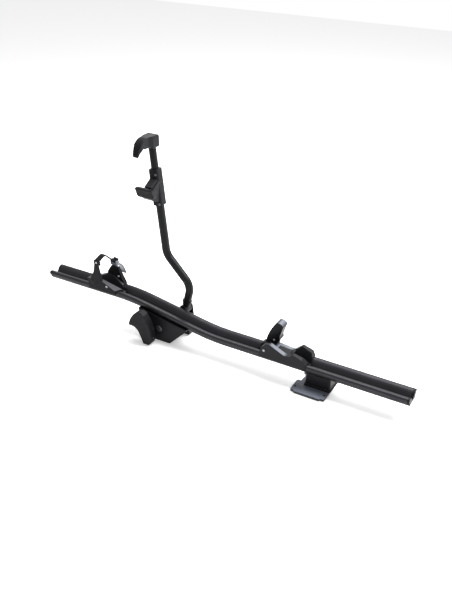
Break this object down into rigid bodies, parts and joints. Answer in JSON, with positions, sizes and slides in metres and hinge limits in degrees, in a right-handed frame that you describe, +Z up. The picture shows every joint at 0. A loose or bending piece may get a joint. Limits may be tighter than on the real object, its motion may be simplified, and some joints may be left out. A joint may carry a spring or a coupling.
{
  "type": "roof mounted bike carrier",
  "caption": "Upright roof carrier for a bicycle: bent tray rail on two feet, strapped front wheel holder, sliding rear cradle and folding arm with telescoping frame jaws.",
  "frame": {"origin": "middle of the front foot's seat on the roof bar, at the mouth of the hole for the bar's bolt", "axes": "+X along the rail towards its rear end, +Y towards the arm's side, +Z up"},
  "size_m": [1.45, 0.1803, 0.747],
  "materials": {
    "anodised": "satin black anodised extrusion",
    "tube": "satin black powder coat",
    "moulding": "fine-grained black moulding",
    "rubber": "matt black rubber",
    "steel": "zinc-plated",
    "bronze": "turned"
  },
  "bodies": {
    "carrier": {"rail": "anodised", "front_end_cap": "moulding", "rear_end_cap": "moulding", "front_foot_housing": "moulding", "front_foot_pad": "rubber", "fork_plate": "moulding", "pivot_pins": "steel", "front_rail_bolts": "steel", "front_rail_nuts": "steel", "lock_bezel": "steel", "rear_foot_block": "moulding", "rear_rail_bolts": "steel", "rear_rail_nuts": "steel", "rear_foot_plate": "moulding", "rear_foot_pad": "rubber", "rear_plate_screws": "steel", "front_saddle": "moulding", "strap_post": "moulding", "strap_buttress": "moulding", "wheel_strap": "rubber", "saddle_screws": "steel", "buckle_base": "moulding", "buckle_pins": "steel"},
    "clamp_lever": {"clamp_lever": "moulding", "clamp_shaft": "steel", "lever_cross_pin": "steel"},
    "draw_nut": {"draw_nut": "steel"},
    "lock_plug": {"lock_plug": "steel"},
    "buckle_lever": {"buckle_lever": "moulding"},
    "buckle_pawl": {"buckle_pawl": "moulding"},
    "arm": {"arm_hub": "tube", "arm_tube": "tube", "lower_jaw": "moulding", "lower_jaw_pad": "rubber", "jaw_sleeve_screws": "steel", "flex_drive": "steel", "screw_bearing": "bronze"},
    "knob": {"torque_knob": "moulding", "knob_shaft": "steel"},
    "lead_screw": {"lead_screw": "steel"},
    "upper_jaw": {"inner_tube": "tube", "drive_nut": "bronze", "upper_jaw": "moulding", "upper_jaw_pad": "rubber", "upper_jaw_screws": "steel"},
    "rear_cradle": {"rear_saddle": "moulding", "rear_saddle_pad": "rubber", "rear_saddle_screws": "steel"}
  },
  "joints": [
    {"name": "arm_fold", "type": "hinge", "parent": "carrier", "child": "arm", "pos_m": [0.071, 0.06, 0.105], "axis": [0, 1, 0], "range_deg": [0, 84]},
    {"name": "jaw_slide", "type": "slide", "parent": "arm", "child": "upper_jaw", "axis": [-0.1054, 0, 0.9944], "range_m": [-0.07, 0]},
    {"name": "knob_turn", "type": "hinge", "parent": "arm", "child": "knob", "pos_m": [0.071, 0.06, 0.105], "axis": [0.2425, 0, 0.9701], "range_deg": [-1261, 0]},
    {"name": "screw_turn", "type": "hinge", "parent": "arm", "child": "lead_screw", "pos_m": [-0.00745, 0.06, 0.352], "axis": [-0.1054, 0, 0.9944], "range_deg": [-1261, 0]},
    {"name": "clamp_lever_turn", "type": "hinge", "parent": "carrier", "child": "clamp_lever", "pos_m": [0, -0.062, 0.03], "axis": [0, -1, 0], "range_deg": [0, 70]},
    {"name": "draw_nut_slide", "type": "slide", "parent": "carrier", "child": "draw_nut", "axis": [0, 0, -1], "range_m": [0, 0.0029]},
    {"name": "lock_turn", "type": "hinge", "parent": "carrier", "child": "lock_plug", "pos_m": [0.02, -0.0455, 0.056], "axis": [0, 1, 0], "range_deg": [0, 90]},
    {"name": "buckle_lever_turn", "type": "hinge", "parent": "carrier", "child": "buckle_lever", "pos_m": [-0.23123, 0.04973, 0.2205], "axis": [0.9848, -0.1736, 0], "range_deg": [0, 75]},
    {"name": "buckle_pawl_turn", "type": "hinge", "parent": "carrier", "child": "buckle_pawl", "pos_m": [-0.23158, 0.04776, 0.2305], "axis": [0.9848, -0.1736, 0], "range_deg": [0, 20]},
    {"name": "cradle_slide", "type": "slide", "parent": "carrier", "child": "rear_cradle", "axis": [1, 0, 0], "range_m": [-0.115, 0.3]}
  ],
  "couplings": [
    {"joint": "knob_turn", "follows": "jaw_slide", "rad_per_m": 314.16},
    {"joint": "screw_turn", "follows": "jaw_slide", "rad_per_m": 314.16},
    {"joint": "draw_nut_slide", "follows": "clamp_lever_turn", "m_per_rad": 0.002349}
  ]
}
